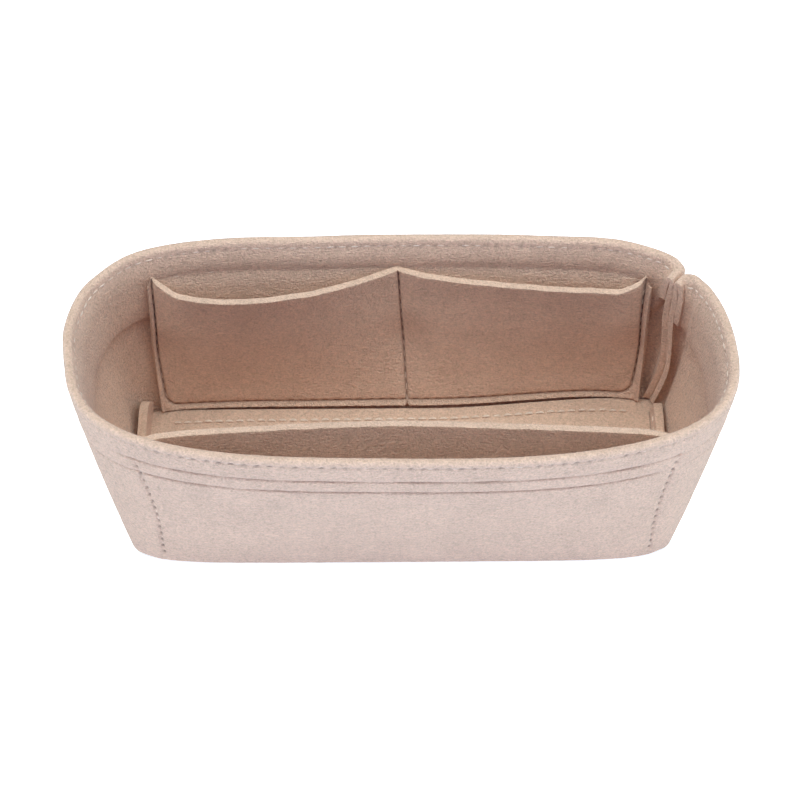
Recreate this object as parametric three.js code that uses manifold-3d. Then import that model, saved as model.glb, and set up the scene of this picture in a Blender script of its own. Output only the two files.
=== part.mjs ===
// A felt purse organizer insert, standing open: a wall band with a folded hem, sewn to a base with
// turned-up ends, and one pocket panel inside each long wall. Every sewn row has a needle thread on its
// face side and a bobbin thread on the other. Millimetres, +Z up, +X along the length, +Y to the back,
// origin on the table under the middle.
import * as THREE from "three";
import { mergeVertices } from "three/addons/utils/BufferGeometryUtils.js";
import loadManifold from "manifold-3d";

const wasm = await loadManifold();
wasm.setup();

// Overall form
const RIM_LENGTH = 230;
const RIM_DEPTH = 106;
const BASE_LENGTH = 193;
const BASE_DEPTH = 70;
const BASE_SETTING = 3.4;
const HEIGHT = 74;
const RIM_FRONT_FULLNESS = 2.9;
const RIM_BACK_FULLNESS = 3.7;
const BASE_FULLNESS = 8.6;
const FRONT_BELLY = 0.35;
const BACK_BELLY = 0.85;

// Felt and thread
const FELT = 2.5;
const THREAD = 0.7;
const CLEARANCE = 0.3;
const STITCH_SINK = 0.6;
const CHANNEL_HALF_WIDTH = 1.2;
const ROW_END_GAP = 2;

// Hem: how far below the rim its edge and its three sewn rows lie
const HEM_DROP = 25;
const RIM_ROW_DROP = 3;
const UPPER_ROW_DROP = 11.7;
const LOWER_ROW_DROP = 18.5;
const BOTTOM_ROUND = 1;

// Seam that closes the band at the right rear, with both ends of the band turned inwards
const SEAM_REACH_RIM = 44;
const SEAM_REACH_BASE = 34;
const SEAM_ALLOWANCE = 10;
const SEAM_CREASE = 1.2;
const FIN_TOP_DROP = 1;

// Base, its turned-up ends and the flanges of the band that are turned under it
const FLANGE_REACH = 13;
const FLANGE_LENGTH = 150;
const BASE_ROW_REACH = 10.5;
const BASE_END_RISE = 6;
const BASE_END_WIDTH = 58;
const BASE_END_ROW_RISE = 3;

// Back pocket panel: two pockets that share a sewn divider
const BACK_POCKET_TOP_WIDTH = 184;
const BACK_POCKET_FOOT_WIDTH = 176;
const BACK_POCKET_DROP = 12.2;
const BACK_POCKET_SIDE_MARGIN = 2.8;
const BACK_POCKET_FOOT_MARGIN = 3.5;
const BACK_LEFT_GAPE = 14;
const BACK_RIGHT_GAPE = 9;
const DIVIDER_OFFSET = 1;

// Front pocket panel: one wide pocket with a foot on the base
const FRONT_POCKET_TOP_WIDTH = 190;
const FRONT_POCKET_FOOT_WIDTH = 178;
const FRONT_POCKET_DROP = 10.5;
const FRONT_POCKET_SIDE_MARGIN = 5;
const FRONT_GAPE = 20;
const GAPE_FULLNESS = 0.8;
const FRONT_FOOT_REACH = 14;

// Facets
const QUARTER_STEPS = 18;
const BAY_STEPS = 10;
const WALL_STEPS = 3;
const SEAM_STEPS = 4;
const ARC_DIVISIONS = 600;
const FOLD_ANGLES = [20, 50, 78];

// Heights, thread places and stations that follow from the sizes above
const hemEdge = HEIGHT - HEM_DROP;
const rimRow = HEIGHT - RIM_ROW_DROP;
const upperRow = HEIGHT - UPPER_ROW_DROP;
const lowerRow = HEIGHT - LOWER_ROW_DROP;
const baseUnderside = FELT + CLEARANCE;
const floorTop = baseUnderside + FELT;
const baseEndTop = floorTop + BASE_END_RISE;
const threadRadius = THREAD / 2;
const threadSeat = CLEARANCE + threadRadius;
const stationCount = 4 * QUARTER_STEPS;
const backMiddle = QUARTER_STEPS;
const leftMiddle = 2 * QUARTER_STEPS;
const frontMiddle = 3 * QUARTER_STEPS;

// Evenly spread values from one to another, both included
function spread(from, to, steps) {
  return Array.from({ length: steps + 1 }, (_, step) => THREE.MathUtils.lerp(from, to, step / steps));
}

// One quarter of a superellipse: quarter 0 runs from the right end to the middle of the back
class OutlineQuarter extends THREE.Curve {
  constructor(quarter, halfLength, halfDepth, fullness) {
    super();
    Object.assign(this, { quarter, halfLength, halfDepth, fullness });
    this.arcLengthDivisions = ARC_DIVISIONS;
  }

  getPoint(share) {
    const angle = ((this.quarter + share) * Math.PI) / 2;
    const along = (Math.abs(Math.cos(angle)) / this.halfLength) ** this.fullness;
    const across = (Math.abs(Math.sin(angle)) / this.halfDepth) ** this.fullness;
    const radius = (along + across) ** (-1 / this.fullness);
    return new THREE.Vector2(radius * Math.cos(angle), radius * Math.sin(angle));
  }
}

function outline(length, depth, frontFullness, backFullness, forward) {
  const quarters = [backFullness, backFullness, frontFullness, frontFullness].map(
    (fullness, quarter) => new OutlineQuarter(quarter, length / 2, depth / 2, fullness),
  );
  const points = quarters.flatMap((quarter) => quarter.getSpacedPoints(QUARTER_STEPS).slice(0, -1));
  return {
    points: points.map((point) => point.setY(point.y - forward)),
    backQuarter: quarters[0].getLength(),
    frontQuarter: quarters[3].getLength(),
  };
}

const rimOutline = outline(RIM_LENGTH, RIM_DEPTH, RIM_FRONT_FULLNESS, RIM_BACK_FULLNESS, 0);
const baseOutline = outline(BASE_LENGTH, BASE_DEPTH, BASE_FULLNESS, BASE_FULLNESS, BASE_SETTING);

// How far the wall has leaned out from the base outline to the rim outline at a height
function leanAt(z, belly) {
  const share = z / HEIGHT;
  return share * (1 + belly * (1 - share));
}

// The back wall leans out more below its hem than the front wall and the ends do
function outerPoint(station, z) {
  const index = ((station % stationCount) + stationCount) % stationCount;
  const backness = Math.max(0, rimOutline.points[index].y / (RIM_DEPTH / 2)) ** 2;
  const belly = THREE.MathUtils.lerp(FRONT_BELLY, BACK_BELLY, backness);
  return baseOutline.points[index].clone().lerp(rimOutline.points[index], leanAt(z, belly));
}

// A point at a whole station, moved squarely inwards from the outer face
function insetPoint(station, z, inset) {
  const before = outerPoint(station - 1, z);
  const after = outerPoint(station + 1, z);
  const inward = new THREE.Vector2(before.y - after.y, after.x - before.x).normalize();
  const point = outerPoint(station, z).addScaledVector(inward, inset);
  return new THREE.Vector3(point.x, point.y, z);
}

// A point anywhere along the wall, on the facet between two stations
function wallPoint(station, z, inset) {
  const lower = Math.floor(station);
  return insetPoint(lower, z, inset).lerp(insetPoint(lower + 1, z, inset), station - lower);
}

// The station that lies a distance along the wall from the middle of a side
function stationFrom(middle, reach, z) {
  const quarter = middle === frontMiddle ? "frontQuarter" : "backQuarter";
  const quarterLength = THREE.MathUtils.lerp(baseOutline[quarter], rimOutline[quarter], z / HEIGHT);
  return middle + (QUARTER_STEPS * reach) / quarterLength;
}

// A closed solid through a row of sections, each with a near and a far face of equal count
function skin(sections, loop = false) {
  const faceCount = sections[0].near.length;
  const ringCount = 2 * faceCount;
  const rings = sections.map(({ near, far }) => [...near, ...far.slice().reverse()]);
  const triangles = [];
  const joints = loop ? sections.length : sections.length - 1;
  for (let section = 0; section < joints; section += 1) {
    const here = section * ringCount;
    const there = ((section + 1) % sections.length) * ringCount;
    for (let corner = 0; corner < ringCount; corner += 1) {
      const next = (corner + 1) % ringCount;
      triangles.push(here + corner, there + corner, there + next, here + corner, there + next, here + next);
    }
  }
  if (!loop) {
    const end = (sections.length - 1) * ringCount;
    for (let near = 0; near < faceCount - 1; near += 1) {
      const far = ringCount - 1 - near;
      triangles.push(near, near + 1, far - 1, near, far - 1, far);
      triangles.push(end + near, end + far - 1, end + near + 1, end + near, end + far, end + far - 1);
    }
  }
  const geometry = new THREE.BufferGeometry().setFromPoints(rings.flat());
  geometry.setIndex(signedVolume(rings.flat(), triangles) < 0 ? triangles.slice().reverse() : triangles);
  return geometry;
}

function signedVolume(points, triangles) {
  let volume = 0;
  for (let corner = 0; corner < triangles.length; corner += 3) {
    const [a, b, c] = triangles.slice(corner, corner + 3).map((index) => points[index]);
    volume += a.dot(b.clone().cross(c)) / 6;
  }
  return volume;
}

// A strip that follows the wall: its faces are lists of [height, inset] pairs
function wallStrip(stations, near, far, loop = false) {
  const trace = (station, face) => face.map(([z, inset]) => wallPoint(station, z, inset));
  return skin(stations.map((station) => ({ near: trace(station, near), far: trace(station, far) })), loop);
}

// Whole stations between two places on the wall, with the places themselves at the ends
function stationsBetween(start, end) {
  const stations = [start];
  for (let station = Math.floor(start) + 1; station < end; station += 1) {
    stations.push(station);
  }
  return [...stations, end];
}

function toSolid(geometry) {
  const bare = geometry.clone();
  bare.deleteAttribute("normal");
  bare.deleteAttribute("uv");
  const merged = mergeVertices(bare);
  const vertProperties = new Float32Array(merged.attributes.position.array);
  const triVerts = new Uint32Array(merged.index.array);
  return new wasm.Manifold(new wasm.Mesh({ numProp: 3, vertProperties, triVerts }));
}

function toGeometry(solid) {
  const mesh = solid.getMesh();
  const geometry = new THREE.BufferGeometry();
  geometry.setAttribute("position", new THREE.BufferAttribute(mesh.vertProperties, 3));
  geometry.setIndex(new THREE.BufferAttribute(mesh.triVerts, 1));
  return geometry;
}

// Wall band: outer face, folded rim and hem face, with a shallow channel along each sewn row
function bandFaces() {
  const channel = (z, face, sink) => [
    [z - CHANNEL_HALF_WIDTH, face],
    [z, face + sink],
    [z + CHANNEL_HALF_WIDTH, face],
  ];
  const rows = (face, sink) => [
    ...channel(lowerRow, face, sink),
    ...channel(upperRow, face, sink),
    ...channel(rimRow, face, sink).slice(0, 2),
  ];
  const fold = (side) =>
    FOLD_ANGLES.map((degrees) => {
      const angle = THREE.MathUtils.degToRad(degrees);
      return [HEIGHT - FELT + FELT * Math.sin(angle), FELT - side * FELT * Math.cos(angle)];
    });
  const lowerWall = spread(0, hemEdge, WALL_STEPS).slice(1, -1);
  const outer = [
    [0, BOTTOM_ROUND],
    [BOTTOM_ROUND, 0],
    ...lowerWall.map((z) => [z, 0]),
    [hemEdge - FELT, 0],
    [hemEdge, 0],
    ...rows(0, STITCH_SINK),
    ...fold(1),
  ];
  const inner = [
    [0, FELT],
    [BOTTOM_ROUND, FELT],
    ...lowerWall.map((z) => [z, FELT]),
    [hemEdge, FELT],
    [hemEdge, 2 * FELT],
    ...rows(2 * FELT, -STITCH_SINK),
    ...fold(-1),
  ];
  return { outer, inner };
}

// Flange of the band under the base, with a groove that keeps the thread off the table
function flange(middle) {
  const reach = FLANGE_LENGTH / 2;
  const stations = stationsBetween(stationFrom(middle, -reach, 0), stationFrom(middle, reach, 0));
  const grooveHalf = FELT - CLEARANCE - threadRadius;
  const insets = [FELT / 2, BASE_ROW_REACH - grooveHalf, BASE_ROW_REACH, BASE_ROW_REACH + grooveHalf];
  const lifts = [0, 0, FELT - threadSeat, 0, 0];
  const reaches = [...insets, Math.max(FLANGE_REACH, BASE_ROW_REACH + grooveHalf + CLEARANCE)];
  const under = reaches.map((inset, place) => [lifts[place], inset]);
  const over = reaches.map((inset) => [FELT, inset]);
  return wallStrip(stations, under, over);
}

function seamStation(z) {
  const reach = THREE.MathUtils.lerp(SEAM_REACH_BASE, SEAM_REACH_RIM, z / HEIGHT);
  return stationFrom(0, reach, z);
}

const finRoot = wallPoint(seamStation(HEIGHT), HEIGHT, 0);
const finDirection = wallPoint(seamStation(HEIGHT), HEIGHT, FELT).sub(finRoot).normalize();
const finSide = new THREE.Vector3(-finDirection.y, finDirection.x, 0);

// A point on the seam: how far in from the outer face, and how far to one side of the joint
function seamPoint(z, inward, aside) {
  const root = wallPoint(seamStation(z), z, 0);
  return root.addScaledVector(finDirection, inward).addScaledVector(finSide, aside);
}

// An upright block along the seam between two heights, given by its inward reach and half thickness
function seamBlock(bottom, top, start, end, startHalf, endHalf) {
  const sections = spread(bottom, top, SEAM_STEPS).map((z) => ({
    near: [seamPoint(z, start, -startHalf), seamPoint(z, end, -endHalf)],
    far: [seamPoint(z, start, startHalf), seamPoint(z, end, endHalf)],
  }));
  return toSolid(skin(sections));
}

function wallBand() {
  const { outer, inner } = bandFaces();
  const everyStation = Array.from({ length: stationCount }, (_, station) => station);
  const layer = FELT + CLEARANCE / 2;
  const hemLayers = layer + FELT;
  const finTop = HEIGHT - FIN_TOP_DROP;
  const past = 2 * FELT;
  const slitHalf = CLEARANCE / 2;
  const solid = toSolid(wallStrip(everyStation, outer, inner, true))
    .add(toSolid(flange(frontMiddle)))
    .add(toSolid(flange(backMiddle)))
    .add(seamBlock(baseEndTop + CLEARANCE, finTop, FELT / 2, SEAM_ALLOWANCE, layer, layer))
    .add(seamBlock(hemEdge, finTop, FELT / 2, SEAM_ALLOWANCE, hemLayers, hemLayers))
    .subtract(seamBlock(-past, HEIGHT + past, -past, SEAM_ALLOWANCE + past, slitHalf, slitHalf))
    .subtract(seamBlock(-past, HEIGHT + past, -SEAM_CREASE, SEAM_CREASE, 2 * SEAM_CREASE, slitHalf));
  return toGeometry(solid);
}

// Base: a flat floor inside the wall, with both ends turned up against the end walls
function baseEnd(middle) {
  const reach = BASE_END_WIDTH / 2;
  const outerFace = FELT + CLEARANCE;
  const start = stationFrom(middle, -reach, floorTop);
  const stations = stationsBetween(start, stationFrom(middle, reach, floorTop));
  const face = (inset) => [[baseUnderside, inset], [baseEndTop, inset]];
  return toSolid(wallStrip(stations, face(outerFace), face(outerFace + FELT)));
}

function basePanel() {
  const corners = [];
  for (let station = 0; station < stationCount; station += 1) {
    const { x, y } = insetPoint(station, baseUnderside, FELT + CLEARANCE);
    corners.push(new THREE.Vector2(x, y));
  }
  const floor = new THREE.ExtrudeGeometry(new THREE.Shape(corners), { depth: FELT, bevelEnabled: false });
  floor.translate(0, 0, baseUnderside);
  return toGeometry(toSolid(floor).add(baseEnd(0)).add(baseEnd(leftMiddle)));
}

// A pocket panel lies on the wall along its seams and gapes between them
const backPocket = {
  middle: backMiddle,
  towardsRight: -1,
  topHalf: BACK_POCKET_TOP_WIDTH / 2,
  footHalf: BACK_POCKET_FOOT_WIDTH / 2,
  foot: floorTop + CLEARANCE,
  firstRow: floorTop + CLEARANCE + BACK_POCKET_FOOT_MARGIN,
  top: HEIGHT - BACK_POCKET_DROP,
  seams: [BACK_POCKET_SIDE_MARGIN - BACK_POCKET_TOP_WIDTH / 2, DIVIDER_OFFSET,
    BACK_POCKET_TOP_WIDTH / 2 - BACK_POCKET_SIDE_MARGIN],
  gapes: [BACK_LEFT_GAPE, BACK_RIGHT_GAPE],
};

const frontPocket = {
  middle: frontMiddle,
  towardsRight: 1,
  topHalf: FRONT_POCKET_TOP_WIDTH / 2,
  footHalf: FRONT_POCKET_FOOT_WIDTH / 2,
  foot: floorTop + CLEARANCE,
  firstRow: floorTop + CLEARANCE + 2 * FELT,
  top: HEIGHT - FRONT_POCKET_DROP,
  seams: [FRONT_POCKET_SIDE_MARGIN - FRONT_POCKET_TOP_WIDTH / 2,
    FRONT_POCKET_TOP_WIDTH / 2 - FRONT_POCKET_SIDE_MARGIN],
  gapes: [FRONT_GAPE],
};

// How far a pocket stands off the wall, at a place across its top edge and a height
function gapeAt(pocket, across, z) {
  const bay = pocket.seams.findLastIndex((seam) => seam <= across);
  if (bay < 0 || bay >= pocket.gapes.length) {
    return 0;
  }
  const share = (across - pocket.seams[bay]) / (pocket.seams[bay + 1] - pocket.seams[bay]);
  const rise = THREE.MathUtils.clamp((z - pocket.firstRow) / (pocket.top - pocket.firstRow), 0, 1);
  return pocket.gapes[bay] * Math.sin(Math.PI * share) ** GAPE_FULLNESS * rise;
}

// Inset of a pocket's wall-side face where it lies flat: on bare wall low down, on the hem's threads above
function pocketSeat(z) {
  const rise = THREE.MathUtils.smoothstep(z, hemEdge - 2 * FELT, hemEdge - CLEARANCE);
  const hemFace = 2 * FELT + Math.max(0, THREAD + CLEARANCE - STITCH_SINK);
  return CLEARANCE + THREE.MathUtils.lerp(FELT, hemFace, rise);
}

// How far an upright row on the outer face passes over the level rows that it crosses
function crossingLift(z) {
  return THREAD * THREE.MathUtils.smoothstep(z, hemEdge - 4 * FELT, hemEdge - FELT);
}

function pocketPoint(pocket, across, z, proud) {
  const share = (z - pocket.foot) / (pocket.top - pocket.foot);
  const taper = THREE.MathUtils.lerp(pocket.footHalf, pocket.topHalf, share) / pocket.topHalf;
  const station = stationFrom(pocket.middle, pocket.towardsRight * across * taper, z);
  return wallPoint(station, z, pocketSeat(z) + gapeAt(pocket, across, z) + proud);
}

function pocketColumns(pocket) {
  const bays = pocket.gapes.flatMap((_, bay) =>
    spread(pocket.seams[bay], pocket.seams[bay + 1], BAY_STEPS).slice(0, -1));
  return [-pocket.topHalf, ...bays, pocket.seams.at(-1), pocket.topHalf];
}

function pocketLevels(pocket) {
  const belowHem = spread(pocket.firstRow, hemEdge - 2 * FELT, WALL_STEPS);
  return [...belowHem, hemEdge - FELT, hemEdge - CLEARANCE, pocket.top];
}

function backPanel() {
  const levels = [backPocket.foot, ...pocketLevels(backPocket)];
  const sections = pocketColumns(backPocket).map((across) => ({
    near: levels.map((z) => pocketPoint(backPocket, across, z, 0)),
    far: levels.map((z) => pocketPoint(backPocket, across, z, FELT)),
  }));
  return skin(sections);
}

function frontPanel() {
  const levels = pocketLevels(frontPocket);
  const footTop = frontPocket.foot + FELT;
  const footEnd = FRONT_FOOT_REACH - pocketSeat(frontPocket.foot);
  const sections = pocketColumns(frontPocket).map((across) => ({
    near: [
      pocketPoint(frontPocket, across, frontPocket.foot, footEnd),
      pocketPoint(frontPocket, across, frontPocket.foot, 0),
      ...levels.map((z) => pocketPoint(frontPocket, across, z, 0)),
    ],
    far: [
      pocketPoint(frontPocket, across, footTop, footEnd),
      pocketPoint(frontPocket, across, footTop, FELT),
      ...levels.map((z) => pocketPoint(frontPocket, across, z, FELT)),
    ],
  }));
  return skin(sections);
}

// Thread rows that run level along the wall, as a four-sided strand at a height and inset
function wallThread(start, end, z, inset) {
  const near = [[z - threadRadius, inset], [z, inset - threadRadius]];
  const far = [[z, inset + threadRadius], [z + threadRadius, inset]];
  return wallStrip(stationsBetween(start, end), near, far);
}

// A thread row along any other path of [across, height] pairs, placed by a function of these and a lift
function pathThread(path, place) {
  const sections = path.map(([across, z], index) => {
    const [fromAcross, fromZ] = path[Math.max(index - 1, 0)];
    const [toAcross, toZ] = path[Math.min(index + 1, path.length - 1)];
    const length = Math.hypot(toAcross - fromAcross, toZ - fromZ);
    const aside = (threadRadius * (toZ - fromZ)) / length;
    const above = (threadRadius * (fromAcross - toAcross)) / length;
    return {
      near: [place(across - aside, z - above, 0), place(across, z, -threadRadius)],
      far: [place(across, z, threadRadius), place(across + aside, z + above, 0)],
    };
  });
  return skin(sections);
}

function hemThreads(name, z) {
  const pastFin = (SEAM_ALLOWANCE * QUARTER_STEPS) / rimOutline.backQuarter;
  const pastCrease = ((SEAM_CREASE + ROW_END_GAP) * QUARTER_STEPS) / rimOutline.backQuarter;
  const start = seamStation(z);
  return {
    [`${name}_needle_thread`]: wallThread(start + pastCrease, start - pastCrease + stationCount, z,
      STITCH_SINK - threadSeat),
    [`${name}_bobbin_thread`]: wallThread(start + pastFin, start - pastFin + stationCount, z,
      2 * FELT - STITCH_SINK + threadSeat),
  };
}

// Heights of an upright row on a pocket panel, from its top end down, bending where the panel bends
function uprightHeights(pocket, top, bottom) {
  const between = pocketLevels(pocket).filter((z) => z > bottom + THREAD && z < top - THREAD);
  return [top, ...between.reverse(), bottom];
}

// The back pocket's sewn edge: down the left side, round a corner, along the foot and up the right side
function pocketEdgePath() {
  const side = backPocket.seams.at(-1);
  const row = backPocket.firstRow;
  const corner = BACK_POCKET_FOOT_MARGIN;
  const turn = corner * (1 - Math.SQRT1_2);
  const heights = uprightHeights(backPocket, backPocket.top - THREAD, row + corner);
  const down = [...heights.map((z) => [-side, z]), [turn - side, row + turn]];
  const up = down.map(([across, z]) => [-across, z]).reverse();
  const along = pocketColumns(backPocket).filter((across) => Math.abs(across) < side - corner - THREAD);
  return [...down, ...[corner - side, ...along, side - corner].map((across) => [across, row]), ...up];
}

function dividerPath() {
  const bottom = backPocket.firstRow + ROW_END_GAP;
  return uprightHeights(backPocket, backPocket.top - THREAD, bottom).map((z) => [DIVIDER_OFFSET, z]);
}

function frontSidePath(side) {
  const top = lowerRow - CHANNEL_HALF_WIDTH - ROW_END_GAP;
  const across = side * frontPocket.seams.at(-1);
  return uprightHeights(frontPocket, top, frontPocket.firstRow).map((z) => [across, z]);
}

// A row sewn through a pocket panel and the wall: one strand on the panel, one on the outer face
function pocketThreads(pocket, path, panelSide, wallSide) {
  const onPanel = (across, z, lift) => pocketPoint(pocket, across, z, FELT + threadSeat + lift);
  const onWall = (across, z, lift) => {
    const throughPanel = pocketSeat(z) + gapeAt(pocket, across, z);
    return pocketPoint(pocket, across, z, -throughPanel - threadSeat - crossingLift(z) - lift);
  };
  return { [panelSide]: pathThread(path, onPanel), [wallSide]: pathThread(path, onWall) };
}

function baseRowThreads(name, middle, topOfLayers) {
  const reach = FLANGE_LENGTH / 2 - ROW_END_GAP;
  const start = stationFrom(middle, -reach, 0);
  const end = stationFrom(middle, reach, 0);
  return {
    [`${name}_needle_thread`]: wallThread(start, end, topOfLayers + threadSeat, BASE_ROW_REACH),
    [`${name}_bobbin_thread`]: wallThread(start, end, threadRadius + CLEARANCE / 2, BASE_ROW_REACH),
  };
}

function baseEndThreads(name, middle) {
  const z = floorTop + BASE_END_ROW_RISE;
  const reach = BASE_END_WIDTH / 2 - ROW_END_GAP;
  const start = stationFrom(middle, -reach, z);
  const end = stationFrom(middle, reach, z);
  return {
    [`${name}_needle_thread`]: wallThread(start, end, z, -threadSeat),
    [`${name}_bobbin_thread`]: wallThread(start, end, z, 2 * FELT + CLEARANCE + threadSeat),
  };
}

// The seam's two strands lie on the flanks of the turned-in ends, where these leave the wall
function seamThreads() {
  const [bottom, top] = [baseEndTop + FELT, hemEdge - FELT];
  const aside = FELT + CLEARANCE / 2 + threadSeat;
  const inward = 2 * FELT;
  const path = spread(top, bottom, SEAM_STEPS).map((z) => [inward, z]);
  const strand = (side) => pathThread(path, (reach, z, lift) => seamPoint(z, reach, side * (aside + lift)));
  return { wall_seam_needle_thread: strand(1), wall_seam_bobbin_thread: strand(-1) };
}

const felt = new THREE.MeshStandardMaterial({ color: 0xd8c6bc, roughness: 0.95, metalness: 0 });
const thread = new THREE.MeshStandardMaterial({ color: 0xe2d3c8, roughness: 0.7, metalness: 0 });

const feltPieces = {
  wall_band: wallBand(),
  base_panel: basePanel(),
  back_pocket: backPanel(),
  front_pocket: frontPanel(),
};

const threadPieces = {
  ...hemThreads("rim_row", rimRow),
  ...hemThreads("hem_upper_row", upperRow),
  ...hemThreads("hem_lower_row", lowerRow),
  ...pocketThreads(backPocket, pocketEdgePath(), "back_pocket_edge_needle_thread",
    "back_pocket_edge_bobbin_thread"),
  ...pocketThreads(backPocket, dividerPath(), "pocket_divider_needle_thread", "pocket_divider_bobbin_thread"),
  ...pocketThreads(frontPocket, frontSidePath(-1), "front_pocket_left_bobbin_thread",
    "front_pocket_left_needle_thread"),
  ...pocketThreads(frontPocket, frontSidePath(1), "front_pocket_right_bobbin_thread",
    "front_pocket_right_needle_thread"),
  ...baseRowThreads("base_back_row", backMiddle, floorTop),
  ...baseRowThreads("base_front_row", frontMiddle, frontPocket.foot + FELT),
  ...baseEndThreads("base_right_end", 0),
  ...baseEndThreads("base_left_end", leftMiddle),
  ...seamThreads(),
};

const organizer = new THREE.Group();
for (const [pieces, material] of [[feltPieces, felt], [threadPieces, thread]]) {
  for (const [name, geometry] of Object.entries(pieces)) {
    geometry.computeVertexNormals();
    const mesh = new THREE.Mesh(geometry, material);
    mesh.name = name;
    organizer.add(mesh);
  }
}

export default organizer;
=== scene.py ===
# %% [markdown]
# A felt purse organizer insert, sewn from four pieces of needle felt: a wall band with a folded hem, a
# base, a divided pocket panel at the back and a single one at the front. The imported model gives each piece
# its place. Here every felt piece is cut again as a flat grid, moved to where the sewing holds it, and
# given the dents, waves and cut edges of the real thing, and every row gets its single stitches.

# %% Load the frame
import math

import bmesh
import bpy
import numpy as np
from mathutils import Matrix, Vector, noise


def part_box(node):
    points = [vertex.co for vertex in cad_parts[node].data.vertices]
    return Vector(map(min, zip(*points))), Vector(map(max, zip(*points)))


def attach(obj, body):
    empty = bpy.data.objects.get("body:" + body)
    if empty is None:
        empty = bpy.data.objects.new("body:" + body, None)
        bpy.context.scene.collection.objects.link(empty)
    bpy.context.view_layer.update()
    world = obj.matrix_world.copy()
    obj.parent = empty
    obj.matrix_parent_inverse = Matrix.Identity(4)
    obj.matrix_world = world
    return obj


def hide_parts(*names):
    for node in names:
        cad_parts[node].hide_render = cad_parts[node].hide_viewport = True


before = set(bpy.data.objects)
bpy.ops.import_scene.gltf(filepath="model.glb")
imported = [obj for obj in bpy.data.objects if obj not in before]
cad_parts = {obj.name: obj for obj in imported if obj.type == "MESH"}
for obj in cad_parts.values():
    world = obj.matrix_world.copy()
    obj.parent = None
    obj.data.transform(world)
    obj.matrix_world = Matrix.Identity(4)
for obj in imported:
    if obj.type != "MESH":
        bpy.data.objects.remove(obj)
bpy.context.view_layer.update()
MM = 0.001

# %% [markdown]
# The camera comes first, because every later choice is judged through it. It looks down by half a right
# angle and a little more, from almost a metre away, with a long lens, so the sides stay nearly parallel.

# %% Camera
CAMERA_ELEVATION = math.radians(50)
CAMERA_DISTANCE = 0.9184
CAMERA_LENS = 118.4
CAMERA_TARGET = Vector((-0.00035, -0.00115, 0.0458))

camera = bpy.data.objects.new("camera", bpy.data.cameras.new("camera"))
camera.data.lens = CAMERA_LENS
camera.data.sensor_width = 36
camera_back = Vector((0, -math.cos(CAMERA_ELEVATION), math.sin(CAMERA_ELEVATION)))
camera.location = CAMERA_TARGET + camera_back * CAMERA_DISTANCE
camera.rotation_euler = (-camera_back).to_track_quat("-Z", "Y").to_euler()
scene = bpy.context.scene
scene.collection.objects.link(camera)
scene.camera = camera
print("camera at", [round(value, 3) for value in camera.location])

# %% [markdown]
# All felt hangs on one form: a rim outline above and a smaller, squarer base outline below, with a wall
# that leans from one to the other. Both outlines are superellipses, a formula that rounds a rectangle's
# corners. A place on the wall is a turn (0 the right end, 1 the back, 2 the left end, 3 the front), a
# height and an inset from the outer face, in millimetres.

# %% Form of the wall
FELT = 2.5
BASE_LENGTH = 193
BASE_DEPTH = 70
BASE_SETTING = 3.4
RIM_FULLNESS = (3.7, 3.7, 2.9, 2.9)
BASE_FULLNESS = (16, 16, 8.0, 8.0)
FRONT_BELLY = 0.35
BACK_BELLY = 0.85
RIM_SET = ((0.21, -3.7, 0.12), (0.50, 1.0, 0.09), (1.24, -0.9, 0.12),
           (1.75, -1.5, 0.07), (1.96, 1.7, 0.08), (3.88, 1.3, 0.20))
OUTLINE_POINTS = 500
NORMAL_STEP = 0.02


def node_box(node):
    low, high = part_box(node)
    return np.array(low) / MM, np.array(high) / MM


def walked_along(points):
    return np.concatenate([[0], np.cumsum(np.linalg.norm(np.diff(points, axis=0), axis=1))])


def outline(half_length, half_depth, fullness_of, forward):
    turns, points = [], []
    for quarter, fullness in enumerate(fullness_of):
        angle = (quarter + np.linspace(0, 1, OUTLINE_POINTS)) * math.pi / 2
        along = (np.abs(np.cos(angle)) / half_length) ** fullness
        across = (np.abs(np.sin(angle)) / half_depth) ** fullness
        radius = (along + across) ** (-1 / fullness)
        xy = np.column_stack([radius * np.cos(angle), radius * np.sin(angle) - forward])
        walked = walked_along(xy)
        turns.append(quarter + walked / walked[-1])
        points.append(xy)
    return np.concatenate(turns), np.concatenate(points)


def path_length(points):
    return float(np.linalg.norm(np.diff(points, axis=0), axis=1).sum())


def on_path(place, known, points):
    return np.column_stack([np.interp(place, known, points[:, axis]) for axis in (0, 1)])


def unit(vectors):
    return vectors / np.linalg.norm(vectors, axis=1)[:, None]


RIM_HALF_LENGTH, RIM_HALF_DEPTH, HEIGHT = node_box("wall_band")[1]
rim_outline = outline(RIM_HALF_LENGTH, RIM_HALF_DEPTH, RIM_FULLNESS, 0)
base_outline = outline(BASE_LENGTH / 2, BASE_DEPTH / 2, BASE_FULLNESS, BASE_SETTING)
BAND_LENGTH = path_length(rim_outline[1])


def share_between(value, start, end):
    return np.clip((value - start) / (end - start), 0, 1)


def smooth(value, start, end):
    share = share_between(value, start, end)
    return share * share * (3 - 2 * share)


def rim_set(turn):
    """How far the rim stands outside its outline; each bow has its turn, reach in mm and width in turns."""
    total = np.zeros_like(turn)
    for middle, reach, width in RIM_SET:
        away = (turn - middle + 2) % 4 - 2
        total = total + reach * np.exp(-((away / width) ** 2))
    return total


def wall_face(turn, z):
    rim = on_path(turn % 4, *rim_outline)
    outward = unit(rim / (RIM_HALF_LENGTH**2, RIM_HALF_DEPTH**2))
    rim = rim + outward * rim_set(turn)[:, None]
    base = on_path(turn % 4, *base_outline)
    backness = np.clip(rim[:, 1] / RIM_HALF_DEPTH, 0, None) ** 2
    belly = FRONT_BELLY + (BACK_BELLY - FRONT_BELLY) * backness
    share = z / HEIGHT
    lean = share * (1 + belly * (1 - share))
    return base + (rim - base) * lean[:, None]


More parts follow.
